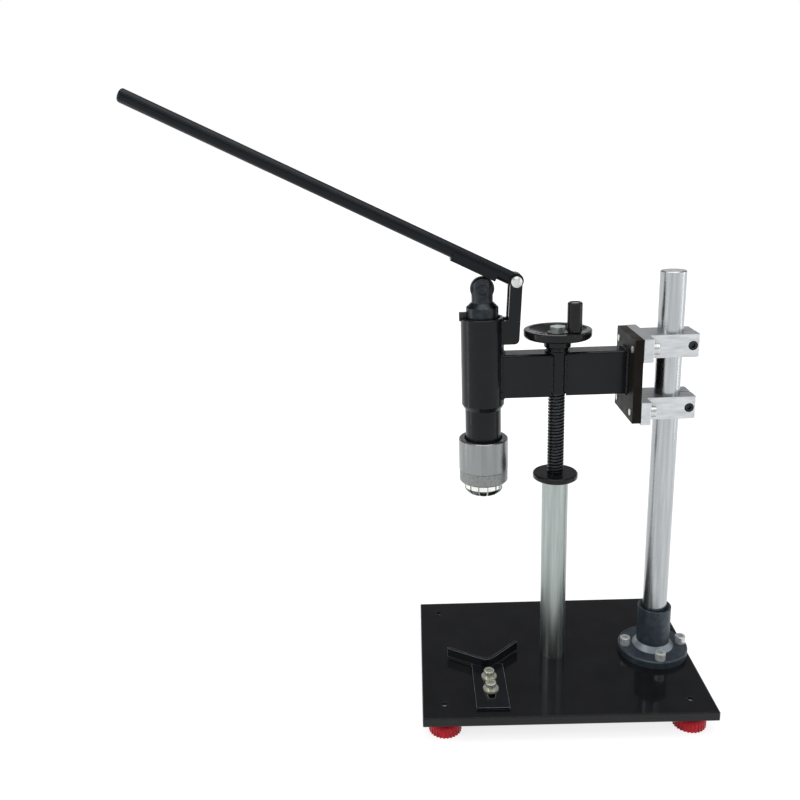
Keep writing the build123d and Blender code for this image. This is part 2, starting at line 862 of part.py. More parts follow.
saddle_origin = (
    pivot_x + saddle_start * lever_direction[0],
    0,
    pivot_z + saddle_start * lever_direction[2],
)
with BuildPart() as lever_saddle:
    channel = lever_radius + seat_gap
    with BuildSketch(at(*saddle_origin, lever_direction, (0, 1, 0))):
        with Locations((0, saddle_drop / 2)):
            Rectangle(2 * (channel + saddle_wall), saddle_drop)
        with Locations((0, channel / 2)):
            Rectangle(2 * channel, channel, mode=Mode.SUBTRACT)
    extrude(amount=saddle_length)
keep(lever_saddle, "lever_saddle")

# Arm: two lengths of box section, the screw boss between them and its bushes
with BuildPart() as arm_inner:
    with BuildSketch(at(0, 0, arm_inner_z + arm_height / 2, (1, 0, 0), (0, 1, 0))):
        RectangleRounded(arm_width, arm_height, arm_corner)
        RectangleRounded(
            arm_width - 2 * arm_wall, arm_height - 2 * arm_wall, arm_corner / 2, mode=Mode.SUBTRACT
        )
    extrude(amount=screw_x - arm_end_from_screw)
    with BuildSketch(Plane.XY.offset(arm_inner_z)):
        Circle(cylinder_radius + seat_gap)
        with Locations((screw_x, 0)):
            Circle(boss_radius + seat_gap)
    extrude(amount=arm_height, mode=Mode.SUBTRACT)
keep(arm_inner, "arm_inner")

with BuildPart() as arm_outer:
    outer_start = screw_x + arm_end_from_screw
    with BuildSketch(at(outer_start, 0, arm_outer_z + arm_height / 2, (1, 0, 0), (0, 1, 0))):
        RectangleRounded(arm_width, arm_height, arm_corner)
        RectangleRounded(
            arm_width - 2 * arm_wall, arm_height - 2 * arm_wall, arm_corner / 2, mode=Mode.SUBTRACT
        )
    extrude(amount=clamp_plate_x - outer_start)
    with BuildSketch(Plane.XY.offset(arm_outer_z)):
        with Locations((screw_x, 0)):
            Circle(boss_radius + seat_gap)
    extrude(amount=arm_height, mode=Mode.SUBTRACT)
keep(arm_outer, "arm_outer")

with BuildPart() as screw_boss:
    with BuildSketch(at(screw_x, 0, boss_z)):
        Circle(boss_radius)
        Circle(bush_radius + seat_gap, mode=Mode.SUBTRACT)
    extrude(amount=boss_top - boss_z)
keep(screw_boss, "screw_boss")

lower_bush = washers(
    at(screw_x, 0, boss_z), [(0, 0)], bush_radius, journal_radius + running_gap, bush_length
)
keep(lower_bush, "lower_bush")

with BuildPart() as upper_bush:
    with BuildSketch(at(screw_x, 0, boss_top)):
        Circle(bush_flange_radius)
    extrude(amount=bush_flange_thickness)
    with BuildSketch(at(screw_x, 0, boss_top)):
        Circle(bush_radius)
    extrude(amount=-bush_length)
    with Locations((screw_x, 0, boss_top + bush_flange_thickness)):
        Hole(journal_radius + running_gap, depth=bush_flange_thickness + bush_length)
keep(upper_bush, "upper_bush")

upper_thrust_washer = washers(
    at(screw_x, 0, hub_z - upper_washer_thickness),
    [(0, 0)],
    bush_flange_radius,
    journal_radius + seat_gap,
    upper_washer_thickness,
)
keep(upper_thrust_washer, "upper_thrust_washer")

# Handwheel on its key, the bolt that holds it, and the revolving grip
rim_inner = wheel_radius - wheel_rim_width
with BuildPart() as handwheel:
    with BuildSketch(at(screw_x, 0, 0, (0, -1, 0))):
        with BuildLine():
            Polyline(
                (journal_radius + seat_gap, hub_z),
                (wheel_hub_radius - nut_bevel, hub_z),
                (wheel_hub_radius, hub_z + nut_bevel),
                (wheel_hub_radius, rim_z + head_bevel),
                (rim_inner, rim_z + head_bevel),
                (rim_inner + head_bevel, rim_z),
                (wheel_radius, rim_z),
                (wheel_radius, rim_top),
                (rim_inner + nut_bevel, rim_top),
                (rim_inner, rim_top - nut_bevel),
                (wheel_hub_radius, rim_z + wheel_web_thickness + head_bevel),
                (wheel_hub_radius - head_bevel, hub_top),
                (journal_radius + seat_gap, hub_top),
                close=True,
            )
        make_face()
    revolve(axis=Axis((screw_x, 0, 0), (0, 0, 1)))
    rim_edges = handwheel.edges().filter_by(GeomType.CIRCLE).sort_by(SortBy.RADIUS)[-2:].sort_by(Axis.Z)
    fillet(rim_edges[0], wheel_lower_round)
    rim_edges = handwheel.edges().filter_by(GeomType.CIRCLE).group_by(Axis.Z)[-1].sort_by(SortBy.RADIUS)
    fillet(rim_edges[-1], wheel_upper_round)
    with BuildSketch(at(grip_x, grip_y, rim_z + head_bevel)):
        Circle(grip_radius)
    extrude(amount=wheel_rim_height - head_bevel)
    with Locations((grip_x, grip_y, rim_top)):
        Hole(spindle_radius + seat_gap, depth=wheel_rim_height)
    with BuildSketch(at(screw_x, 0, hub_top - wheel_key_length)):
        with Locations((0, journal_radius)):
            Rectangle(wheel_key_width + 2 * seat_gap, 2 * (wheel_key_width - wheel_key_depth + seat_gap))
    extrude(amount=wheel_key_length, mode=Mode.SUBTRACT)
keep(handwheel, "handwheel")

with BuildPart() as wheel_key:
    key_centre = journal_radius - wheel_key_depth + wheel_key_width / 2
    with BuildSketch(at(screw_x, key_centre, hub_top - wheel_key_length)):
        Rectangle(wheel_key_width, wheel_key_width)
    extrude(amount=wheel_key_length - body_gap)
keep(wheel_key, "wheel_key")

wheel_washer = washers(
    at(screw_x, 0, hub_top),
    [(0, 0)],
    wheel_washer_radius,
    m10_radius + seat_gap,
    wheel_washer_thickness,
)
keep(wheel_washer, "wheel_washer")

with BuildPart() as wheel_bolt:
    bolt_seat = hub_top + wheel_washer_thickness
    with BuildSketch(at(screw_x, 0, bolt_seat)):
        RegularPolygon(m10_hex / 2, 6, major_radius=False, rotation=wheel_bolt_turn)
    extrude(amount=m10_head_height)
    with BuildSketch(at(screw_x, 0, bolt_seat)):
        Circle(m10_hex / 2 + head_bevel)
    extrude(amount=m10_head_height, mode=Mode.INTERSECT)
    with BuildSketch(at(screw_x, 0, bolt_seat)):
        Circle(m10_radius)
    extrude(amount=-wheel_bolt_length)
keep(wheel_bolt, "wheel_bolt")

grip_recess_z = grip_z + grip_length - grip_recess_depth
with BuildPart() as wheel_grip:
    with BuildSketch(at(grip_x, grip_y, grip_z)):
        Circle(grip_radius)
    extrude(amount=grip_length)
    chamfer(wheel_grip.edges().filter_by(GeomType.CIRCLE), grip_bevel)
    with Locations((grip_x, grip_y, grip_z + grip_length)):
        CounterBoreHole(
            spindle_radius + running_gap, grip_recess_radius, grip_recess_depth, depth=grip_length
        )
keep(wheel_grip, "wheel_grip")

with BuildPart() as grip_spindle:
    with BuildSketch(at(grip_x, grip_y, rim_z + head_bevel)):
        Circle(spindle_radius)
    extrude(amount=grip_recess_z + body_gap - rim_z - head_bevel)
    with BuildSketch(at(grip_x, grip_y, grip_recess_z + body_gap)):
        Circle(spindle_head_radius)
    extrude(amount=spindle_head_height)
    chamfer(grip_spindle.faces().sort_by(Axis.Z)[-1].edges(), head_bevel)
keep(grip_spindle, "grip_spindle")

# Clamp plate, the two split clamps on the column and their screws
clamp_bolt_z = [lower_clamp_z + clamp_height / 2, upper_clamp_z + clamp_height / 2]
clamp_bolt_places = [
    (side * clamp_bolt_spacing / 2, z - clamp_plate_mid) for side in (-1, 1) for z in clamp_bolt_z
]
with BuildPart() as clamp_plate:
    with BuildSketch(at(clamp_plate_x, 0, clamp_plate_mid, (1, 0, 0), (0, 1, 0))):
        Rectangle(clamp_plate_width, clamp_plate_height)
        with Locations(*clamp_bolt_places):
            Circle(m8_radius + seat_gap, mode=Mode.SUBTRACT)
    extrude(amount=clamp_plate_thickness)
keep(clamp_plate, "clamp_plate")

for name, clamp_z in (("upper_clamp", upper_clamp_z), ("lower_clamp", lower_clamp_z)):
    clamp_mid = clamp_z + clamp_height / 2
    screw_seat_y = -clamp_body_width / 2 + m6_head_height
    with BuildPart() as clamp:
        with BuildSketch(at(clamp_foot_x, 0, clamp_z)) as outline:
            with Locations((clamp_foot_thickness / 2, 0)):
                Rectangle(clamp_foot_thickness, clamp_plate_width)
            body_length = clamp_centre + clamp_end
            with Locations((body_length / 2, 0)):
                Rectangle(body_length, clamp_body_width)
            fillet(outline.vertices(), clamp_round)
            with Locations((clamp_centre, 0)):
                Circle(column_radius + running_gap, mode=Mode.SUBTRACT)
            with Locations((clamp_centre + clamp_end / 2, 0)):
                Rectangle(clamp_end, clamp_slit, mode=Mode.SUBTRACT)
        extrude(amount=clamp_height)
        with BuildSketch(at(clamp_foot_x, 0, clamp_mid, (1, 0, 0), (0, 1, 0))):
            with GridLocations(clamp_bolt_spacing, 0, 2, 1):
                Circle(m8_radius + screw_hole_gap)
        extrude(amount=clamp_foot_thickness, mode=Mode.SUBTRACT)
        screw_bore_x = column_x + clamp_screw_from_bore
        with BuildSketch(at(screw_bore_x, -clamp_body_width / 2, clamp_mid, (0, 1, 0))):
            Circle(m6_radius + seat_gap)
        extrude(amount=clamp_body_width, mode=Mode.SUBTRACT)
        with BuildSketch(at(screw_bore_x, -clamp_body_width / 2, clamp_mid, (0, 1, 0))):
            Circle(m6_head_radius + screw_hole_gap)
        extrude(amount=m6_head_height, mode=Mode.SUBTRACT)
    keep(clamp, name)

clamp_bolts = socket_screws(
    at(clamp_foot_x + clamp_foot_thickness, 0, clamp_plate_mid, (1, 0, 0), (0, 1, 0)),
    clamp_bolt_places,
    m8_radius,
    m8_head_radius,
    m8_head_height,
    m8_socket,
    clamp_foot_thickness + clamp_plate_thickness + clamp_bolt_reach,
)
keep(clamp_bolts, "clamp_bolts")

clamp_screws = socket_screws(
    at(column_x + clamp_screw_from_bore, -clamp_body_width / 2 + m6_head_height, 0, (0, -1, 0)),
    [(0, z) for z in clamp_bolt_z],
    m6_radius,
    m6_head_radius,
    m6_head_height,
    m6_socket,
    clamp_body_width - m6_head_height - head_bevel,
)
keep(clamp_screws, "clamp_screws")

# Bottle stop: a slotted strap, a bent blade and two screws with thick washers
with BuildPart() as stop_strap:
    with BuildSketch(at(0, -(strap_front + strap_back) / 2, strap_z)):
        Rectangle(strap_width, strap_front - strap_back)
    extrude(amount=strap_thickness)
    with BuildSketch(at(0, -(stop_slot_front + stop_slot_back) / 2, strap_z)):
        SlotOverall(stop_slot_front - stop_slot_back, stop_slot_width, rotation=90)
    extrude(amount=strap_thickness, mode=Mode.SUBTRACT)
keep(stop_strap, "stop_strap")

half_angle = radians(blade_half_angle)
apex_y = -blade_stand_off / sin(half_angle)
blade_across = (cos(radians(blade_turn)), sin(radians(blade_turn)), 0)
wing_x = blade_length * sin(half_angle)
wing_y = blade_length * cos(half_angle)
wall_x = blade_thickness * cos(half_angle)
wall_y = blade_thickness * sin(half_angle)
with BuildPart() as stop_blade:
    with BuildSketch(at(0, apex_y, strap_z + strap_thickness, along=blade_across)) as blade_profile:
        with BuildLine():
            Polyline(
                (0, 0),
                (wing_x, wing_y),
                (wing_x + wall_x, wing_y - wall_y),
                (0, -blade_thickness / sin(half_angle)),
                (-wing_x - wall_x, wing_y - wall_y),
                (-wing_x, wing_y),
                close=True,
            )
        make_face()
        inner_apex = blade_profile.vertices().sort_by_distance((0, 0))[0:1]
        fillet(inner_apex, blade_apex_round)
        outer_apex = blade_profile.vertices().sort_by(Axis.Y)[0:1]
        fillet(outer_apex, blade_apex_round + blade_thickness)
    extrude(amount=blade_height)
keep(stop_blade, "stop_blade")

stop_places = [(0, -stop_screw_front), (0, -stop_screw_back)]
stop_washers = washers(
    at(0, 0, stop_screw_seat - stop_washer_thickness),
    stop_places,
    stop_washer_radius,
    m8_radius + seat_gap,
    stop_washer_thickness,
)
keep(stop_washers, "stop_washers")

stop_screws = socket_screws(
    at(0, 0, stop_screw_seat),
    stop_places,
    m8_radius,
    m8_head_radius,
    m8_head_height,
    m8_socket,
    stop_screw_seat + plate_thickness - head_bevel,
)
keep(stop_screws, "stop_screws")
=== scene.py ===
"""The bench bottle capper's looks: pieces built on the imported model, materials, light and camera."""
import math

import bmesh
import bpy
from mathutils import Matrix, Vector


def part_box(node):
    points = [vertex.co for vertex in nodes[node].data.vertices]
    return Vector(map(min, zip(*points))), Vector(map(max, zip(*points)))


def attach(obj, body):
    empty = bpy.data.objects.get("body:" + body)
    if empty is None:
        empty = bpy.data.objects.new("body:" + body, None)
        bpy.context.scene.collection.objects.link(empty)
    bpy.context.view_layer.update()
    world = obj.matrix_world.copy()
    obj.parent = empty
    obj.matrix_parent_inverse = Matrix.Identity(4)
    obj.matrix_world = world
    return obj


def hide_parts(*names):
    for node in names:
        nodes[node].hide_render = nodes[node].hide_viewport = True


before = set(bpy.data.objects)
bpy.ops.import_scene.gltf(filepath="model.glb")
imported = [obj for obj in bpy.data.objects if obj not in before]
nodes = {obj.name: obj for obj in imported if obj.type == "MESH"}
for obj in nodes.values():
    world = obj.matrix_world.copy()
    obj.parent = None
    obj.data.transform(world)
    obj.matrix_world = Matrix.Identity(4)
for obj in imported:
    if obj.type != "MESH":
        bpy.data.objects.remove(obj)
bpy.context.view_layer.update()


def box_of(name):
    """A node's lowest and highest corners, in metres."""
    low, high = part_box(name)
    return Vector(low), Vector(high)


def middle(name):
    low, high = box_of(name)
    return (low + high) / 2


# Materials
def new_material(name):
    made = bpy.data.materials.new(name)
    made.use_nodes = True
    tree = made.node_tree
    tree.nodes.clear()
    out = tree.nodes.new("ShaderNodeOutputMaterial")
    shader = tree.nodes.new("ShaderNodeBsdfPrincipled")
    tree.links.new(shader.outputs["BSDF"], out.inputs["Surface"])
    return made, tree, shader


def noise(tree, scale, stretch=(1, 1, 1), detail=4.0, rough=0.55):
    """Object-space noise, drawn out along an axis by a stretch below one."""
    place = tree.nodes.new("ShaderNodeTexCoord")
    mapping = tree.nodes.new("ShaderNodeMapping")
    mapping.inputs["Scale"].default_value = stretch
    tree.links.new(place.outputs["Object"], mapping.inputs["Vector"])
    texture = tree.nodes.new("ShaderNodeTexNoise")
    texture.inputs["Scale"].default_value = scale
    texture.inputs["Detail"].default_value = detail
    texture.inputs["Roughness"].default_value = rough
    tree.links.new(mapping.outputs["Vector"], texture.inputs["Vector"])
    return texture.outputs["Fac"]


def ramp(tree, source, stops):
    made = tree.nodes.new("ShaderNodeValToRGB")
    tree.links.new(source, made.inputs["Fac"])
    elements = made.color_ramp.elements
    while len(elements) < len(stops):
        elements.new(0.5)
    for element, (place, colour) in zip(elements, stops):
        element.position = place
        element.color = (*colour, 1)
    return made.outputs["Color"]


def spread(tree, source, low, high, at=(0.3, 0.7)):
    made = tree.nodes.new("ShaderNodeMapRange")
    tree.links.new(source, made.inputs["Value"])
    made.inputs["From Min"].default_value = at[0]
    made.inputs["From Max"].default_value = at[1]
    made.inputs["To Min"].default_value = low
    made.inputs["To Max"].default_value = high
    return made.outputs["Result"]


def rounded_edge_normal(tree, radius=0.0007):
    """A shading normal that rounds each edge a little, so that it catches the light."""
    made = tree.nodes.new("ShaderNodeBevel")
    made.samples = 4
    made.inputs["Radius"].default_value = radius
    return made.outputs["Normal"]


def bump(tree, shader, source, distance, strength=0.5, after=None):
    made = tree.nodes.new("ShaderNodeBump")
    made.inputs["Strength"].default_value = strength
    made.inputs["Distance"].default_value = distance
    tree.links.new(source, made.inputs["Height"])
    if after is not None:
        tree.links.new(after, made.inputs["Normal"])
    tree.links.new(made.outputs["Normal"], shader.inputs["Normal"])
    return made.outputs["Normal"]


def wave(tree, scale, direction="Z", distortion=0.0):
    place = tree.nodes.new("ShaderNodeTexCoord")
    texture = tree.nodes.new("ShaderNodeTexWave")
    texture.bands_direction = direction
    texture.inputs["Scale"].default_value = scale
    texture.inputs["Distortion"].default_value = distortion
    tree.links.new(place.outputs["Object"], texture.inputs["Vector"])
    return texture.outputs["Fac"]


def paint(name, dark, light, rough, peel=0.00006, coat=0.0, dust=0.0, shine=0.16, edge_wear_and_highlight=0.0):
    """Sprayed black enamel: slow colour drift, orange peel, settled dust, and edges lightened towards steel
    grey, partly wear to the steel and partly a painted highlight.
    """
    made, tree, shader = new_material(name)
    drift = noise(tree, 22, detail=5)
    colour = ramp(tree, drift, [(0.3, dark), (0.7, light)])
    if dust:
        grains = noise(tree, 620, detail=2, rough=0.7)
        specks = ramp(tree, grains, [(0.0, (0, 0, 0)), (0.70, (0, 0, 0)), (0.78, (1, 1, 1))])
        mix = tree.nodes.new("ShaderNodeMix")
        mix.data_type = "RGBA"
        weight = tree.nodes.new("ShaderNodeMath")
        weight.operation = "MULTIPLY"
        weight.inputs[1].default_value = dust
        tree.links.new(specks, weight.inputs[0])
        tree.links.new(weight.outputs[0], mix.inputs["Factor"])
        tree.links.new(colour, mix.inputs["A"])
        mix.inputs["B"].default_value = (0.16, 0.15, 0.14, 1)
        colour = mix.outputs["Result"]
    # Edges lightened towards steel grey: partly wear, partly a painted highlight along every edge.
    if edge_wear_and_highlight:
        faces = tree.nodes.new("ShaderNodeNewGeometry")
        along = tree.nodes.new("ShaderNodeVectorMath")
        along.operation = "DOT_PRODUCT"
        tree.links.new(faces.outputs["True Normal"], along.inputs[0])
        tree.links.new(rounded_edge_normal(tree, 0.0010), along.inputs[1])
        bright = tree.nodes.new("ShaderNodeMix")
        bright.data_type = "RGBA"
        worn_and_lit_edges = spread(tree, along.outputs["Value"], edge_wear_and_highlight, 0.0, (0.72, 0.96))
        tree.links.new(worn_and_lit_edges, bright.inputs["Factor"])
        tree.links.new(colour, bright.inputs["A"])
        bright.inputs["B"].default_value = (0.46, 0.50, 0.54, 1)
        colour = bright.outputs["Result"]
    tree.links.new(colour, shader.inputs["Base Color"])
    tree.links.new(spread(tree, noise(tree, 60, detail=6), rough[0], rough[1]), shader.inputs["Roughness"])
    shader.inputs["Specular IOR Level"].default_value = shine
    shader.inputs["Coat Weight"].default_value = coat
    bump(tree, shader, noise(tree, 420, detail=2), peel, 0.35, after=rounded_edge_normal(tree))
    return made


def metal(name, dark, light, rough, stretch=(1, 1, 1), scale=180, grain=0.00002, lines=None, bare=1.0):
    """Bare or plated metal: streaks of colour and gloss, with a grain or turning lines in relief."""
    made, tree, shader = new_material(name)
    streak = noise(tree, scale, stretch, detail=6)
    tree.links.new(ramp(tree, streak, [(0.3, dark), (0.7, light)]), shader.inputs["Base Color"])
    shader.inputs["Metallic"].default_value = bare
    gloss = noise(tree, scale * 0.6, stretch, detail=5)
    tree.links.new(spread(tree, gloss, rough[0], rough[1]), shader.inputs["Roughness"])
    relief = noise(tree, scale * 4, stretch, detail=3)
    relief = bump(tree, shader, relief, grain, 0.4, after=rounded_edge_normal(tree, 0.0004))
    if lines:
        bump(tree, shader, wave(tree, lines, distortion=0.6), grain, 0.5, after=relief)
    return made


def plastic(name, dark, light, rough, grain=0.00003):
    made, tree, shader = new_material(name)
    colour = ramp(tree, noise(tree, 70, detail=5), [(0.3, dark), (0.7, light)])
    tree.links.new(colour, shader.inputs["Base Color"])
    tree.links.new(spread(tree, noise(tree, 130, detail=4), rough[0], rough[1]), shader.inputs["Roughness"])
    shader.inputs["Specular IOR Level"].default_value = 0.22
    bump(tree, shader, noise(tree, 900, detail=2), grain, 0.3, after=rounded_edge_normal(tree))
    return made


# The edge lightening set below is partly wear to the steel and partly a painted highlight.
black = paint(
    "black_enamel", (0.0040, 0.0056, 0.0074), (0.0074, 0.0098, 0.0128), (0.20, 0.34),
    peel=0.000025, coat=0.08, edge_wear_and_highlight=0.10)
# The stop's strap and blade: their strongly lightened edges are mostly a painted highlight, partly wear.
edge_lit_worn_black = paint(
    "edge_lit_worn_enamel", (0.0040, 0.0052, 0.0066), (0.0074, 0.0090, 0.0114), (0.16, 0.28),
    peel=0.000025, coat=0.20, edge_wear_and_highlight=0.85)
# Clamp plate enamel: its brown tint is a painted warm reflection; the pale specks are dust.
dull_brown_reflection_black = paint(
    "dull_brown_reflection_enamel", (0.0080, 0.0070, 0.0060), (0.0220, 0.0185, 0.0150), (0.42, 0.55),
    peel=0.00003, dust=0.4, shine=0.06)
plate_black = paint(
    "plate_enamel", (0.0045, 0.0048, 0.0052), (0.0095, 0.0098, 0.0104), (0.10, 0.22),
    peel=0.00004, coat=0.25, dust=0.55, edge_wear_and_highlight=0.16)
lever_black = paint(
    "lever_enamel", (0.0045, 0.0060, 0.0080), (0.0085, 0.0115, 0.0155), (0.28, 0.42), peel=0.00003)
shaft = metal(
    "ground_shaft", (0.34, 0.36, 0.37), (0.47, 0.49, 0.50), (0.20, 0.32), (1, 1, 0.04), 260)
tube_zinc = metal(
    "zinc_tube", (0.30, 0.34, 0.33), (0.44, 0.48, 0.465), (0.26, 0.40), (1, 1, 0.05), 200, 0.00003)
zinc = metal("bright_zinc", (0.56, 0.58, 0.57), (0.78, 0.80, 0.78), (0.26, 0.40), scale=240, bare=0.6)
green_zinc = metal(
    "green_zinc", (0.46, 0.54, 0.49), (0.70, 0.78, 0.73), (0.26, 0.40), scale=240, bare=0.7)
zinc_yellow = metal(
    "yellow_zinc", (0.52, 0.52, 0.42), (0.76, 0.76, 0.66), (0.22, 0.34), scale=240, bare=0.75)
grey_zinc = metal("grey_zinc", (0.16, 0.17, 0.16), (0.28, 0.29, 0.28), (0.26, 0.40), scale=240)
dark_steel = metal(
    "dark_steel", (0.018, 0.021, 0.024), (0.040, 0.045, 0.050), (0.26, 0.40), scale=160)
screw_steel = metal(
    "screw_steel", (0.016, 0.018, 0.020), (0.060, 0.064, 0.066), (0.26, 0.42), scale=300)
turned = metal(
    "turned_aluminium", (0.215, 0.225, 0.225), (0.265, 0.275, 0.28), (0.24, 0.34),
    (1, 1, 0.06), 160, 0.000012, lines=520)
milled = metal(
    "milled_aluminium", (0.46, 0.48, 0.49), (0.62, 0.64, 0.65), (0.34, 0.48), (0.2, 1, 1), 260, 0.00004)
knurled = metal(
    "knurled_ring", (0.17, 0.18, 0.175), (0.26, 0.27, 0.265), (0.32, 0.44), scale=380, grain=0.00003)
spring_wire = metal("spring_wire", (0.16, 0.16, 0.17), (0.34, 0.34, 0.35), (0.26, 0.38), scale=240)
black_plastic = plastic(
    "black_plastic", (0.0060, 0.0064, 0.0072), (0.0115, 0.0120, 0.0130), (0.12, 0.24))
red_plastic = plastic("red_plastic", (0.60, 0.016, 0.030), (0.80, 0.040, 0.060), (0.24, 0.36))


def flange_material():
    """Blackened steel, with the cone between flange and collar left bright from the lathe."""
    made, tree, shader = new_material("blackened_flange")
    place = tree.nodes.new("ShaderNodeTexCoord")
    split = tree.nodes.new("ShaderNodeSeparateXYZ")
    tree.links.new(place.outputs["Object"], split.inputs["Vector"])
    height = spread(tree, split.outputs["Z"], 0.0, 1.0, (0.0, 0.07))
    none, full = (0, 0, 0), (1, 1, 1)
    bare = ramp(tree, height, [
        (0.0, none), (0.146, none), (0.149, full), (0.246, full), (0.250, none), (1.0, none),
    ])
    blackened = [(0.3, (0.040, 0.053, 0.066)), (0.7, (0.070, 0.088, 0.106))]
    dark = ramp(tree, noise(tree, 140, detail=6), blackened)
    mix = tree.nodes.new("ShaderNodeMix")
    mix.data_type = "RGBA"
    tree.links.new(bare, mix.inputs["Factor"])
    tree.links.new(dark, mix.inputs["A"])
    mix.inputs["B"].default_value = (0.26, 0.29, 0.32, 1)
    tree.links.new(mix.outputs["Result"], shader.inputs["Base Color"])
    shader.inputs["Metallic"].default_value = 0.6
    shader.inputs["Specular IOR Level"].default_value = 0.3
    tree.links.new(spread(tree, noise(tree, 220, detail=5), 0.36, 0.50), shader.inputs["Roughness"])
    bump(tree, shader, noise(tree, 700, detail=3), 0.00002, 0.4, after=rounded_edge_normal(tree, 0.0005))
    return made


flange_black = flange_material()


def jaw_material():
    """Hard-chromed jaws, polished above; a painted dark reflection on the nose's cone and painted shade on
    the inner faces.
    """
    made, tree, shader = new_material("collet_jaws")
    place = tree.nodes.new("ShaderNodeTexCoord")
    split = tree.nodes.new("ShaderNodeSeparateXYZ")
    tree.links.new(place.outputs["Object"], split.inputs["Vector"])
    cone = spread(tree, split.outputs["Z"], 1.0, 0.0, (0.2424, 0.2432))
    flat = tree.nodes.new("ShaderNodeCombineXYZ")
    tree.links.new(split.outputs["X"], flat.inputs["X"])
    tree.links.new(split.outputs["Y"], flat.inputs["Y"])
    from_axis = tree.nodes.new("ShaderNodeVectorMath")
    from_axis.operation = "LENGTH"
    tree.links.new(flat.outputs["Vector"], from_axis.inputs[0])
    inside = spread(tree, from_axis.outputs["Value"], 1.0, 0.0, (0.0238, 0.0242))
    # Painted dark on the cone (a painted dark reflection) and on the inner faces (painted shade).
    painted_dark_mask = tree.nodes.new("ShaderNodeMath")
    painted_dark_mask.operation = "MAXIMUM"
    tree.links.new(cone, painted_dark_mask.inputs[0])
    tree.links.new(inside, painted_dark_mask.inputs[1])
    mix = tree.nodes.new("ShaderNodeMix")
    mix.data_type = "RGBA"
    tree.links.new(painted_dark_mask.outputs[0], mix.inputs["Factor"])
    polished = [(0.3, (0.72, 0.74, 0.70)), (0.7, (0.86, 0.88, 0.83))]
    painted_dark = [(0.3, (0.04, 0.045, 0.04)), (0.7, (0.13, 0.14, 0.125))]
    tree.links.new(ramp(tree, noise(tree, 200, detail=5), polished), mix.inputs["A"])
    tree.links.new(ramp(tree, noise(tree, 240, detail=5), painted_dark), mix.inputs["B"])
    tree.links.new(mix.outputs["Result"], shader.inputs["Base Color"])
    shader.inputs["Metallic"].default_value = 1.0
    tree.links.new(spread(tree, noise(tree, 160, detail=5), 0.12, 0.24), shader.inputs["Roughness"])
    bump(tree, shader, noise(tree, 700, detail=3), 0.00001, 0.4)
    return made


jaws = jaw_material()

finishes = {
    "base_plate": plate_black, "column": shaft, "column_flange": flange_black,
    "column_collar": flange_black, "flange_spring_washers": zinc, "flange_screws": zinc,
    "lift_tube": tube_zinc, "lift_tube_plug": tube_zinc, "lift_tube_bolt": zinc,
    "lift_nut": black_plastic, "foot_lock_nuts": zinc,
    "stop_washers": zinc_yellow, "stop_screws": zinc_yellow,
    "stop_strap": edge_lit_worn_black, "stop_blade": edge_lit_worn_black,
    "head_cylinder": black, "spring_seat": dark_steel, "guide_key": dark_steel,
    "lever_post": black, "pivot_pin": zinc, "pivot_clip": zinc,
    "lever_rod": lever_black, "lever_saddle": lever_black,
    "arm_inner": black, "arm_outer": black, "screw_boss": black,
    "lower_bush": dark_steel, "upper_bush": dark_steel, "clamp_plate": dull_brown_reflection_black,
    "upper_clamp": milled, "lower_clamp": milled, "clamp_bolts": zinc, "clamp_screws": dark_steel,
    "lead_screw": screw_steel, "thrust_washer": dark_steel, "upper_thrust_washer": dark_steel,
    "handwheel": black_plastic, "wheel_key": dark_steel, "wheel_washer": grey_zinc,
    "wheel_bolt": green_zinc, "grip_spindle": zinc, "wheel_grip": black_plastic,
    "main_spring": spring_wire, "plunger_tube": black, "plunger_stem": dark_steel,
    "roller": dark_steel, "roller_axle": dark_steel,
    "bell": turned, "closing_ring": knurled, "collet": jaws,
    "collet_spring": spring_wire, "pressure_pad": dark_steel,
}
for corner in ("front_left", "front_right", "back_left", "back_right"):
    finishes["foot_pad_" + corner] = red_plastic
    finishes["foot_stud_" + corner] = zinc
for name, finish in finishes.items():
    slots = nodes[name].data.materials
    slots.clear()
    slots.append(finish)


# Shapes
def make_object(name, points, faces, material, crease=35):
    mesh = bpy.data.meshes.new(name)
    mesh.from_pydata([tuple(p) for p in points], [], faces)
    work = bmesh.new()
    work.from_mesh(mesh)
    bmesh.ops.remove_doubles(work, verts=work.verts, dist=1e-6)
    bmesh.ops.dissolve_degenerate(work, edges=work.edges, dist=1e-7)
    bmesh.ops.recalc_face_normals(work, faces=work.faces)
    work.to_mesh(mesh)
    work.free()
    mesh.shade_smooth()
    mesh.set_sharp_from_angle(angle=math.radians(crease))
    mesh.materials.append(material)
    made = bpy.data.objects.new(name, mesh)
    bpy.context.collection.objects.link(made)
    return made


def turn(name, profile, centre, material, segments=96, axis=(0, 0, 1), crease=35):
    """A lathe form: profile is a list of (radius, height) along the axis from the centre."""
    along = Vector(axis).normalized()
    across = along.orthogonal().normalized()
    beside = along.cross(across)
    points = []
    for radius, height in profile:
        for i in range(segments):
            turned_by = 2 * math.pi * i / segments
            outward = across * math.cos(turned_by) + beside * math.sin(turned_by)
            points.append(Vector(centre) + along * height + outward * radius)
    faces = []
    for row in range(len(profile) - 1):
        for i in range(segments):
            j = (i + 1) % segments
            low, high = row * segments, (row + 1) * segments
            faces.append((low + i, low + j, high + j, high + i))
    return make_object(name, points, faces, material, crease)


def rounded(profile, size, steps=5):
    """The closed or open profile with its corners rounded by up to the given size."""
    result = [profile[0]]
    for before, corner, after in zip(profile, profile[1:], profile[2:]):
        a, b, c = Vector(before), Vector(corner), Vector(after)
        reach = min(size, (a - b).length * 0.45, (c - b).length * 0.45)
        start, end = b + (a - b).normalized() * reach, b + (c - b).normalized() * reach
        for i in range(steps + 1):
            t = i / steps
            result.append(tuple(start * (1 - t) ** 2 + b * 2 * t * (1 - t) + end * t ** 2))
    result.append(profile[-1])
    return result


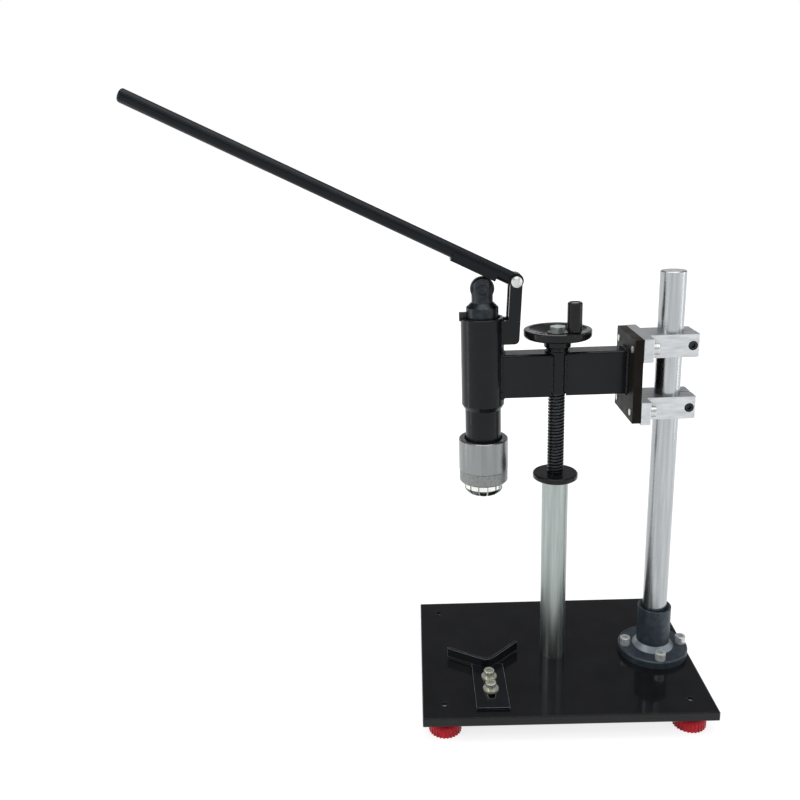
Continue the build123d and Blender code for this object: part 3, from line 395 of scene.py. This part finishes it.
def weld(name, path, radius, body, material, ripple=0.22, pitch=0.0026, sides=10):
    """A hand-laid weld bead along a path, its ripples a pitch apart."""
    length = 0
    stations = []
    for a, b in zip(path, path[1:]):
        a, b = Vector(a), Vector(b)
        run = (b - a).length
        count = max(2, int(run / 0.0006))
        for i in range(count):
            stations.append((a.lerp(b, i / count), length + run * i / count))
        length += run
    stations.append((Vector(path[-1]), length))
    points, faces = [], []
    for i, (spot, gone) in enumerate(stations):
        ahead = stations[min(i + 1, len(stations) - 1)][0] - stations[max(i - 1, 0)][0]
        ahead.normalize()
        across = ahead.orthogonal().normalized()
        beside = ahead.cross(across)
        saw = (gone / pitch) % 1.0
        fade = min(1.0, gone / 0.003 + 0.25, (length - gone) / 0.003 + 0.25)
        uneven = 0.10 * math.sin(gone * 410) + 0.06 * math.sin(gone * 973 + 1.0)
        size = radius * fade * (1 - ripple * saw + uneven)
        for k in range(sides):
            turned_by = 2 * math.pi * k / sides
            points.append(spot + (across * math.cos(turned_by) + beside * math.sin(turned_by)) * size)
    for i in range(len(stations) - 1):
        for k in range(sides):
            m = (k + 1) % sides
            faces.append((i * sides + k, i * sides + m, (i + 1) * sides + m, (i + 1) * sides + k))
    faces.append(tuple(range(sides)))
    faces.append(tuple(range((len(stations) - 1) * sides, len(stations) * sides)))
    made = make_object(name, points, faces, material, 60)
    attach(made, body)
    return made


# Lead screw with its real thread
low, high = box_of("lead_screw")
screw_x = middle("lead_screw").x
shoulder = box_of("thrust_washer")[0].z
pitch, crest, root = 0.004, 0.010, 0.0078
columns, points, faces = 64, [], []
turns = int((shoulder - low.z) / pitch) + 2
profile = [(root, 0.0), (root, 0.00125), (crest, 0.00185), (crest, 0.0034)]
rows = turns * len(profile)
for i in range(columns + 1):
    for k in range(turns):
        for radius, offset in profile:
            z = low.z - pitch + pitch * (k + i / columns) + offset
            if z < low.z + 0.0012:
                radius = root
            z = min(max(z, low.z), shoulder)
            turned_by = 2 * math.pi * i / columns
            points.append((screw_x + radius * math.cos(turned_by), radius * math.sin(turned_by), z))
for i in range(columns):
    for row in range(rows - 1):
        a, b = i * rows + row, (i + 1) * rows + row
        faces.append((a, b, b + 1, a + 1))
lead_screw = make_object("lead_screw_thread", points, faces, screw_steel, 25)
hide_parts("lead_screw")
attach(lead_screw, "screw")
journal_top = high.z - shoulder
journal_radius, journal_bevel, tapped_radius, tapped_depth = 0.0075, 0.0008, 0.0051, 0.019
journal = turn("lead_screw_journal", rounded([
    (0.0, -0.0005),
    (0.0099, -0.0005),
    (0.0099, 0.0),
    (journal_radius, 0.0),
    (journal_radius, journal_top - journal_bevel),
    (journal_radius - journal_bevel, journal_top),
    (tapped_radius, journal_top),
    (tapped_radius, journal_top - tapped_depth),
    (0.0, journal_top - tapped_depth - 0.001),
], 0.0002, 2), (screw_x, 0, shoulder), dark_steel, 64)
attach(journal, "screw")


# Welds of the arm at the head cylinder, the clamp plate and the screw boss
cylinder_low, cylinder_high = box_of("head_cylinder")
cylinder_radius = (cylinder_high.x - cylinder_low.x) / 2
arm_low, arm_high = box_of("arm_inner")
outer_low, outer_high = box_of("arm_outer")
plate_low, plate_high = box_of("clamp_plate")
half = (arm_high.y - arm_low.y) / 2
plate_weld_x = plate_low.x - 0.0004
weld_inset = 0.001
for side, name in ((-1, "front"), (1, "back")):
    y = side * (half + 0.0002)
    x = math.sqrt(cylinder_radius ** 2 - half ** 2)
    weld("weld_cylinder_" + name, [(x, y, arm_low.z), (x, y, arm_high.z)], 0.0022, "arm", black)
    path = [(plate_weld_x, y, outer_low.z + weld_inset), (plate_weld_x, y, outer_high.z - weld_inset)]
    weld("weld_plate_" + name, path, 0.0026, "arm", black)
for z, name in ((arm_high.z, "top"), (arm_low.z, "under")):
    arc = []
    for i in range(25):
        angle = math.radians(-36 + 72 * i / 24)
        arc.append((cylinder_radius * math.cos(angle), cylinder_radius * math.sin(angle), z))
    weld("weld_cylinder_" + name, arc, 0.0020, "arm", black)
for z, name in ((outer_high.z, "top"), (outer_low.z, "under")):
    path = [(plate_weld_x, -half + weld_inset, z), (plate_weld_x, half - weld_inset, z)]
    weld("weld_plate_" + name, path, 0.0024, "arm", black)
boss_low = box_of("screw_boss")[0]
boss_weld_x, boss_weld_y = 0.0082, 0.0136
for side, name in ((-1, "front"), (1, "back")):
    for outward, end in ((-1, "inner"), (1, "outer")):
        z_low, z_high = (arm_low.z, arm_high.z) if outward < 0 else (outer_low.z, outer_high.z)
        x, y = screw_x + outward * boss_weld_x, side * boss_weld_y
        path = [(x, y, max(z_low, boss_low.z) + weld_inset), (x, y, z_high - weld_inset)]
        weld("weld_boss_" + end + "_" + name, path, 0.0024, "arm", black)


# Floor, lights, world and camera
floor_z = box_of("foot_pad_front_left")[0].z
floor_mesh = bpy.data.meshes.new("floor")
reach = 40.0
corners = [(x, y, floor_z) for x, y in ((-reach, -reach), (reach, -reach), (reach, reach), (-reach, reach))]
floor_mesh.from_pydata(corners, [], [(0, 1, 2, 3)])
floor = bpy.data.objects.new("floor", floor_mesh)
bpy.context.collection.objects.link(floor)


def floor_material():
    made = bpy.data.materials.new("pale_floor")
    made.use_nodes = True
    tree = made.node_tree
    tree.nodes.clear()
    out = tree.nodes.new("ShaderNodeOutputMaterial")
    diffuse = tree.nodes.new("ShaderNodeBsdfDiffuse")
    diffuse.inputs["Color"].default_value = (0.36, 0.36, 0.36, 1)
    glow = tree.nodes.new("ShaderNodeEmission")
    glow.inputs["Color"].default_value = (1, 1, 1, 1)
    seen = tree.nodes.new("ShaderNodeLightPath")
    either = tree.nodes.new("ShaderNodeMath")
    either.operation = "MAXIMUM"
    tree.links.new(seen.outputs["Is Camera Ray"], either.inputs[0])
    tree.links.new(seen.outputs["Is Glossy Ray"], either.inputs[1])
    place = tree.nodes.new("ShaderNodeTexCoord")
    away = tree.nodes.new("ShaderNodeVectorMath")
    away.operation = "LENGTH"
    tree.links.new(place.outputs["Object"], away.inputs[0])
    level = tree.nodes.new("ShaderNodeMath")
    level.operation = "MULTIPLY"
    tree.links.new(spread(tree, away.outputs["Value"], 0.80, 1.02, (0.45, 1.4)), level.inputs[1])
    tree.links.new(either.outputs[0], level.inputs[0])
    tree.links.new(level.outputs[0], glow.inputs["Strength"])
    both = tree.nodes.new("ShaderNodeAddShader")
    tree.links.new(diffuse.outputs["BSDF"], both.inputs[0])
    tree.links.new(glow.outputs["Emission"], both.inputs[1])
    tree.links.new(both.outputs["Shader"], out.inputs["Surface"])
    return made


floor_mesh.materials.append(floor_material())


def build_world():
    """A white backdrop all round near the horizon, and a softly lit ceiling above it."""
    world = bpy.data.worlds.new("studio")
    bpy.context.scene.world = world
    world.use_nodes = True
    tree = world.node_tree
    tree.nodes.clear()
    out = tree.nodes.new("ShaderNodeOutputWorld")
    seen = tree.nodes.new("ShaderNodeLightPath")
    room = tree.nodes.new("ShaderNodeBackground")
    room.inputs["Strength"].default_value = 1.0
    backdrop = tree.nodes.new("ShaderNodeBackground")
    backdrop.inputs["Color"].default_value = (1, 1, 1, 1)
    backdrop.inputs["Strength"].default_value = 1.0
    place = tree.nodes.new("ShaderNodeTexCoord")
    split = tree.nodes.new("ShaderNodeSeparateXYZ")
    tree.links.new(place.outputs["Generated"], split.inputs["Vector"])
    tone = ramp(tree, split.outputs["Z"], [
        (0.0, (1, 1, 1)), (0.17, (1, 1, 1)), (0.25, (0.22, 0.22, 0.23)),
        (0.60, (0.20, 0.20, 0.21)), (0.95, (0.60, 0.60, 0.62)),
    ])
    tree.links.new(tone, room.inputs["Color"])
    either = tree.nodes.new("ShaderNodeMath")
    either.operation = "MAXIMUM"
    tree.links.new(seen.outputs["Is Camera Ray"], either.inputs[0])
    low = spread(tree, split.outputs["Z"], 1.0, 0.0, (0.17, 0.25))
    behind = tree.nodes.new("ShaderNodeMath")
    behind.operation = "MULTIPLY"
    either_way = tree.nodes.new("ShaderNodeMath")
    either_way.operation = "MAXIMUM"
    tree.links.new(seen.outputs["Is Glossy Ray"], either_way.inputs[0])
    tree.links.new(seen.outputs["Is Transmission Ray"], either_way.inputs[1])
    tree.links.new(either_way.outputs[0], behind.inputs[0])
    tree.links.new(low, behind.inputs[1])
    tree.links.new(behind.outputs[0], either.inputs[1])
    mix = tree.nodes.new("ShaderNodeMixShader")
    tree.links.new(either.outputs[0], mix.inputs["Fac"])
    tree.links.new(room.outputs["Background"], mix.inputs[1])
    tree.links.new(backdrop.outputs["Background"], mix.inputs[2])
    tree.links.new(mix.outputs["Shader"], out.inputs["Surface"])


build_world()


def area_light(name, place, aim, size, power, colour=(1, 1, 1)):
    data = bpy.data.lights.new(name, "AREA")
    data.shape = "RECTANGLE"
    data.size, data.size_y = size
    data.energy = power
    data.color = colour
    lamp = bpy.data.objects.new(name, data)
    lamp.location = place
    lamp.rotation_euler = (Vector(aim) - Vector(place)).to_track_quat("-Z", "Y").to_euler()
    lamp.visible_camera = False
    bpy.context.collection.objects.link(lamp)
    return lamp


area_light("overhead", (0.1, -0.1, 1.9), (0.1, 0.0, 0.2), (1.6, 1.2), 13)
area_light("left_window", (-1.5, -0.9, 1.1), (0.1, 0.0, 0.25), (0.5, 1.2), 6, (0.97, 0.99, 1.0))
area_light("right_fill", (1.4, -1.1, 0.9), (0.1, 0.0, 0.25), (0.4, 1.0), 3)
area_light("front_strip", (0.1, -0.95, 1.45), (0.1, 0.0, 0.15), (1.1, 0.22), 2.4, (0.96, 0.98, 1.0))
area_light("left_strip", (-0.86, 0.0, 0.50), (0.1, 0.0, 0.30), (0.13, 1.0), 1.3, (0.95, 0.99, 1.0))
area_light("right_strip", (1.00, -0.10, 0.50), (0.1, 0.0, 0.30), (0.10, 1.0), 0.9, (0.93, 0.97, 1.0))

camera_data = bpy.data.cameras.new("camera")
camera_data.sensor_width = 36
camera_data.lens = 37.05
camera = bpy.data.objects.new("camera", camera_data)
yaw, pitch_down, roll = math.radians(1.41), math.radians(16.71), math.radians(-2.24)
level = math.cos(pitch_down)
forward = Vector((-math.sin(yaw) * level, math.cos(yaw) * level, -math.sin(pitch_down)))
right = Vector((math.cos(yaw), math.sin(yaw), 0))
upward = right.cross(forward)
right, upward = (
    right * math.cos(roll) + upward * math.sin(roll),
    upward * math.cos(roll) - right * math.sin(roll),
)
camera.matrix_world = Matrix((
    (right.x, upward.x, -forward.x, -0.0768),
    (right.y, upward.y, -forward.y, -0.9542),
    (right.z, upward.z, -forward.z, 0.6427),
    (0, 0, 0, 1),
))
bpy.context.collection.objects.link(camera)
scene = bpy.context.scene
scene.camera = camera
scene.view_settings.view_transform = "Standard"

bpy.context.view_layer.update()
